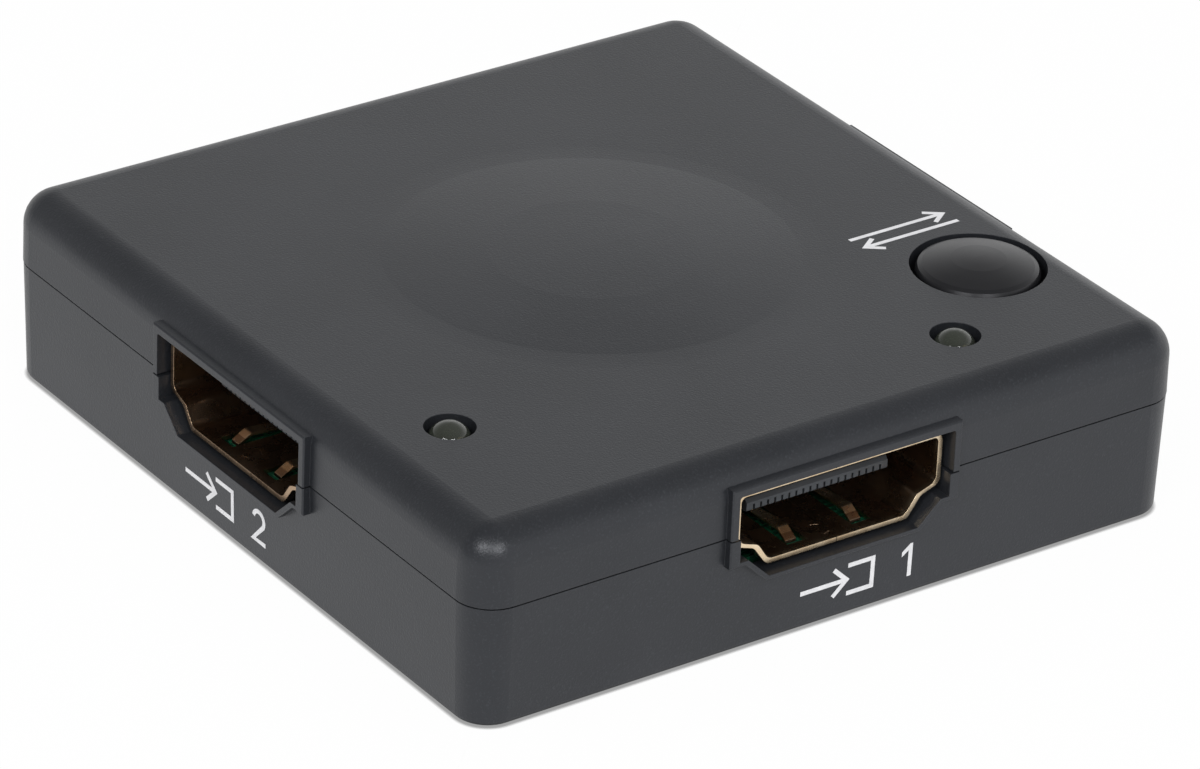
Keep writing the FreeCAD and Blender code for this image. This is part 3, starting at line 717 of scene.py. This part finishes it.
trackPlan = {
    "sizes": {"Width": 0.16 * mm, "Height": 0.05 * mm, "Turn Radius": 0.5 * mm,
              "Turn Steps": 3},
    "portTurns": (0.0, -90.0, -270.0),
    "perPort": 8,
    "pitch": 1.2,
    "chipPitch": 0.5,
    "start": 13.0,
    "knee": 9.6,
    "underLeads": 0.2,
    "sunk": 0.015,
}


def boxInMm(name):
    low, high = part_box(name)
    return Vector(low) / mm, Vector(high) / mm


boardTop = boxInMm("circuit_board")[1].z
chipLow, chipHigh = boxInMm("switch_chip_leads")
chipMid = (chipLow + chipHigh) / 2


def makeTracks():
    # From the resistors of each port straight in, then slanting to the chip's row of leads
    plan = trackPlan
    height = boardTop - plan["sunk"]
    chipEdge = plan["underLeads"] - (chipHigh.y - chipLow.y) / 2
    paths = []
    for turn in plan["portTurns"]:
        angle = math.radians(turn)
        for i in range(plan["perPort"]):
            shift = i - (plan["perPort"] - 1) / 2
            outer = turnedBy(angle, shift * plan["pitch"], -plan["start"])
            knee = turnedBy(angle, shift * plan["pitch"], -plan["knee"])
            inner = turnedBy(angle, shift * plan["chipPitch"], chipEdge)
            end = (inner[0] + chipMid.x, inner[1] + chipMid.y)
            paths.append([(*point, height) for point in (outer, knee, end)])
    return paths


trackTree = makeWireTree("boardTrack", trackPlan["sizes"], coatedTrace)
bakeTree("boardTracks", makeGuide("trackGuide", makeTracks()), trackTree, trackPlan["sizes"],
         coatedTrace)

solderPlan = {
    "sizes": {"Bead Width": 0.24 * mm, "Bead Height": 0.16 * mm, "Unevenness": 0.18,
              "Seed": 7},
    "leads": ("switch_chip_leads", "logic_chip_leads", "voltage_regulator_leads"),
    "mergeGap": 1e-7,
    "ballSteps": 2,
}


def makeBeadTree():
    # A flattened, slightly uneven bead on every guide point
    tree, nodes, links, start = startTree("solderBead", solderPlan["sizes"])
    ball = nodes.new("GeometryNodeMeshIcoSphere")
    setSockets(ball, {"Radius": 1.0, "Subdivisions": solderPlan["ballSteps"]})
    flat = nodes.new("ShaderNodeCombineXYZ")
    links.new(start.outputs["Bead Width"], flat.inputs["X"])
    links.new(start.outputs["Bead Width"], flat.inputs["Y"])
    links.new(start.outputs["Bead Height"], flat.inputs["Z"])
    wobble = nodes.new("FunctionNodeRandomValue")
    wobble.data_type = "FLOAT"
    links.new(start.outputs["Seed"], wobble.inputs["Seed"])
    floats = [socket for socket in wobble.inputs if socket.type == "VALUE"]
    for socket, operation in zip(floats, ("SUBTRACT", "ADD")):
        limit = addMath(nodes, links, operation, 1.0, start.outputs["Unevenness"])
        links.new(limit, socket)
    scale = nodes.new("ShaderNodeVectorMath")
    scale.operation = "SCALE"
    links.new(flat.outputs["Vector"], scale.inputs[0])
    randomFloat = [socket for socket in wobble.outputs if socket.type == "VALUE"][0]
    links.new(randomFloat, scale.inputs["Scale"])
    spread = nodes.new("GeometryNodeInstanceOnPoints")
    links.new(start.outputs["Geometry"], spread.inputs["Points"])
    links.new(ball.outputs["Mesh"], spread.inputs["Instance"])
    links.new(scale.outputs["Vector"], spread.inputs["Scale"])
    endTree(tree, spread.outputs["Instances"], brightSolder)
    return tree


def leadEnds():
    # The outer end of every chip lead, on both chips and the regulator, by its own box
    points = []
    for name in solderPlan["leads"]:
        mesh = bmesh.new()
        mesh.from_mesh(frame["nodes"][name].data)
        bmesh.ops.remove_doubles(mesh, verts=mesh.verts, dist=solderPlan["mergeGap"])
        low, high = boxInMm(name)
        middle = (low + high) / 2
        seen = set()
        for first in mesh.verts:
            if first in seen:
                continue
            seen.add(first)
            group, queue = [], [first]
            while queue:
                corner = queue.pop()
                group.append(corner.co.copy() / mm)
                for edge in corner.link_edges:
                    other = edge.other_vert(corner)
                    if other not in seen:
                        seen.add(other)
                        queue.append(other)
            far = max(group, key=lambda p: max(abs(p.x - middle.x), abs(p.y - middle.y)))
            side = sum(group, Vector()) / len(group)
            if abs(far.x - middle.x) > abs(far.y - middle.y):
                points.append((far.x, side.y, boardTop))
            else:
                points.append((side.x, far.y, boardTop))
        mesh.free()
    return points


beadTree = makeBeadTree()
beads = makeGuide("beadGuide", [[point] for point in leadEnds()])
bakeTree("solderBeads", beads, beadTree, solderPlan["sizes"], brightSolder)
print("wires, tracks and solder grown")


# Floor, world and lamps: white to the camera, and darker in reflections towards the ceiling

stageLook = {
    "floorHalf": 1.5,
    "floorDrop": 0.00002,
    "floorTone": (0.9, 0.9, 0.9, 1.0),
    "floorRough": 0.9,
    "cameraWhite": 0.97,
    "floorGloss": 0.90,
    # The floor's painted contact shadow: its reach, darkest tone, span of the occlusion and
    # samples
    "paintedShadowReach": 0.00032,
    "paintedShadowTone": 0.35,
    "paintedShadowSpan": (0.5, 1.0),
    "paintedShadowSamples": 16,
    "ambient": 0.58,
    "horizonGloss": 0.69,
    "ceilingGloss": 0.26,
    "gradientLow": 0.28,
    "gradientHigh": 0.75,
    "sideLean": 0.65,
}
softboxes = {
    "leftSoftbox": {"turn": -62.0, "rise": 38.0, "distance": 0.9, "size": (0.38, 0.22),
                    "watts": 2.7},
    "frontSoftbox": {"turn": -14.0, "rise": 38.0, "distance": 0.9, "size": (0.38, 0.22),
                     "watts": 2.7},
}


def makeFloor():
    # Camera, reflections and clear pieces see a bright floor with a painted contact shadow where
    # the object stands close; diffuse light sees its paint
    half = stageLook["floorHalf"]
    drop = -stageLook["floorDrop"]
    mesh = bpy.data.meshes.new("paleFloor")
    mesh.from_pydata([(-half, -half, drop), (half, -half, drop), (half, half, drop),
                      (-half, half, drop)], [], [(0, 1, 2, 3)])
    floor = bpy.data.objects.new("paleFloor", mesh)
    bpy.context.scene.collection.objects.link(floor)
    material, nodes, links, shader = startMaterial("paleFloorPaint")
    setSockets(shader, {"Base Color": stageLook["floorTone"],
                        "Roughness": stageLook["floorRough"]})
    # Painted contact shadow: the floor's glow is darkened where ambient occlusion finds the
    # object close
    paintedShadow = nodes.new("ShaderNodeAmbientOcclusion")
    paintedShadow.samples = stageLook["paintedShadowSamples"]
    paintedShadow.inputs["Distance"].default_value = stageLook["paintedShadowReach"]
    tone = addRange(nodes, links, paintedShadow.outputs["AO"], *stageLook["paintedShadowSpan"],
                    stageLook["paintedShadowTone"], 1.0)
    glow = nodes.new("ShaderNodeEmission")
    glow.inputs["Color"].default_value = white
    rays = nodes.new("ShaderNodeLightPath")
    dim = addRange(nodes, links, rays.outputs["Is Glossy Ray"], 0.0, 1.0, 1.0,
                   stageLook["floorGloss"])
    links.new(addMath(nodes, links, "MULTIPLY", tone, dim), glow.inputs["Strength"])
    share = addMath(nodes, links, "MULTIPLY", rays.outputs["Is Camera Ray"],
                    stageLook["cameraWhite"])
    share = addMath(nodes, links, "MAXIMUM", share, rays.outputs["Is Glossy Ray"])
    share = addMath(nodes, links, "MAXIMUM", share, rays.outputs["Is Transmission Ray"])
    blend = nodes.new("ShaderNodeMixShader")
    links.new(share, blend.inputs["Fac"])
    links.new(shader.outputs["BSDF"], blend.inputs[1])
    links.new(glow.outputs["Emission"], blend.inputs[2])
    output = [n for n in nodes if n.type == "OUTPUT_MATERIAL"][0]
    links.new(blend.outputs["Shader"], output.inputs["Surface"])
    floor.data.materials.append(material)


def makeWorld():
    # White behind the object, an even dim light on it, and a gradient in its reflections
    world = bpy.data.worlds.new("studio")
    world.use_nodes = True
    bpy.context.scene.world = world
    nodes = world.node_tree.nodes
    links = world.node_tree.links
    background = nodes["Background"]
    background.inputs["Color"].default_value = white
    rays = nodes.new("ShaderNodeLightPath")
    place = nodes.new("ShaderNodeTexCoord")
    split = nodes.new("ShaderNodeSeparateXYZ")
    links.new(place.outputs["Generated"], split.inputs["Vector"])
    fall = nodes.new("ShaderNodeMapRange")
    fall.interpolation_type = "SMOOTHSTEP"
    setSockets(fall, {"From Min": stageLook["gradientLow"], "From Max": stageLook["gradientHigh"],
                      "To Min": stageLook["horizonGloss"], "To Max": stageLook["ceilingGloss"]})
    links.new(split.outputs["Z"], fall.inputs["Value"])
    seen = addMath(nodes, links, "MAXIMUM", rays.outputs["Is Camera Ray"],
                   rays.outputs["Is Transmission Ray"])
    lean = addMath(nodes, links, "MULTIPLY", split.outputs["X"], stageLook["sideLean"])
    lean = addMath(nodes, links, "ADD", lean, 1.0)
    gloss = nodes.new("ShaderNodeMix")
    gloss.inputs["A"].default_value = stageLook["ambient"]
    links.new(rays.outputs["Is Glossy Ray"], gloss.inputs["Factor"])
    links.new(addMath(nodes, links, "MULTIPLY", fall.outputs["Result"], lean), gloss.inputs["B"])
    level = addMath(nodes, links, "MAXIMUM", gloss.outputs["Result"], seen)
    links.new(level, background.inputs["Strength"])


def compassWay(turn, rise):
    # Unit vector towards a turn from the front and a height, both in degrees
    turn, rise = math.radians(turn), math.radians(rise)
    return Vector((math.sin(turn) * math.cos(rise), -math.cos(turn) * math.cos(rise),
                   math.sin(rise)))


def addSoftbox(name, plan):
    # A lamp aimed at the middle of the object
    light = bpy.data.lights.new(name, "AREA")
    light.energy = plan["watts"]
    light.shape = "RECTANGLE"
    light.size, light.size_y = plan["size"]
    lamp = bpy.data.objects.new(name, light)
    away = compassWay(plan["turn"], plan["rise"])
    lamp.location = away * plan["distance"]
    lamp.rotation_euler = away.to_track_quat("Z", "Y").to_euler()
    bpy.context.scene.collection.objects.link(lamp)


makeFloor()
makeWorld()
for name, plan in softboxes.items():
    addSoftbox(name, plan)
print("floor, world and lamps ready")


# Camera at the photograph's angle

cameraView = {
    "aim": (-2.980 * mm, -5.533 * mm, 7.0 * mm),
    "distance": 412.97 * mm,
    "turn": -36.007,
    "rise": 28.486,
    "roll": 2.444,
    "lens": 210.12,
    "sensor": 36.0,
    "clip": 0.01,
}


def makeCamera():
    view = cameraView
    roll = math.radians(view["roll"])
    back = compassWay(view["turn"], view["rise"])
    right = (-back).cross(Vector((0, 0, 1))).normalized()
    up = right.cross(-back)
    tiltedRight = right * math.cos(roll) + up * math.sin(roll)
    tiltedUp = up * math.cos(roll) - right * math.sin(roll)
    matrix = Matrix((tiltedRight, tiltedUp, back)).transposed().to_4x4()
    matrix.translation = Vector(view["aim"]) + back * view["distance"]
    camera = bpy.data.cameras.new("photoCamera")
    camera.lens = view["lens"]
    camera.sensor_width = view["sensor"]
    camera.sensor_fit = "HORIZONTAL"
    camera.clip_start = view["clip"]
    holder = bpy.data.objects.new("photoCamera", camera)
    holder.matrix_world = matrix
    bpy.context.scene.collection.objects.link(holder)
    bpy.context.scene.camera = holder


makeCamera()
bpy.context.scene.view_settings.view_transform = "Standard"
print("camera ready")
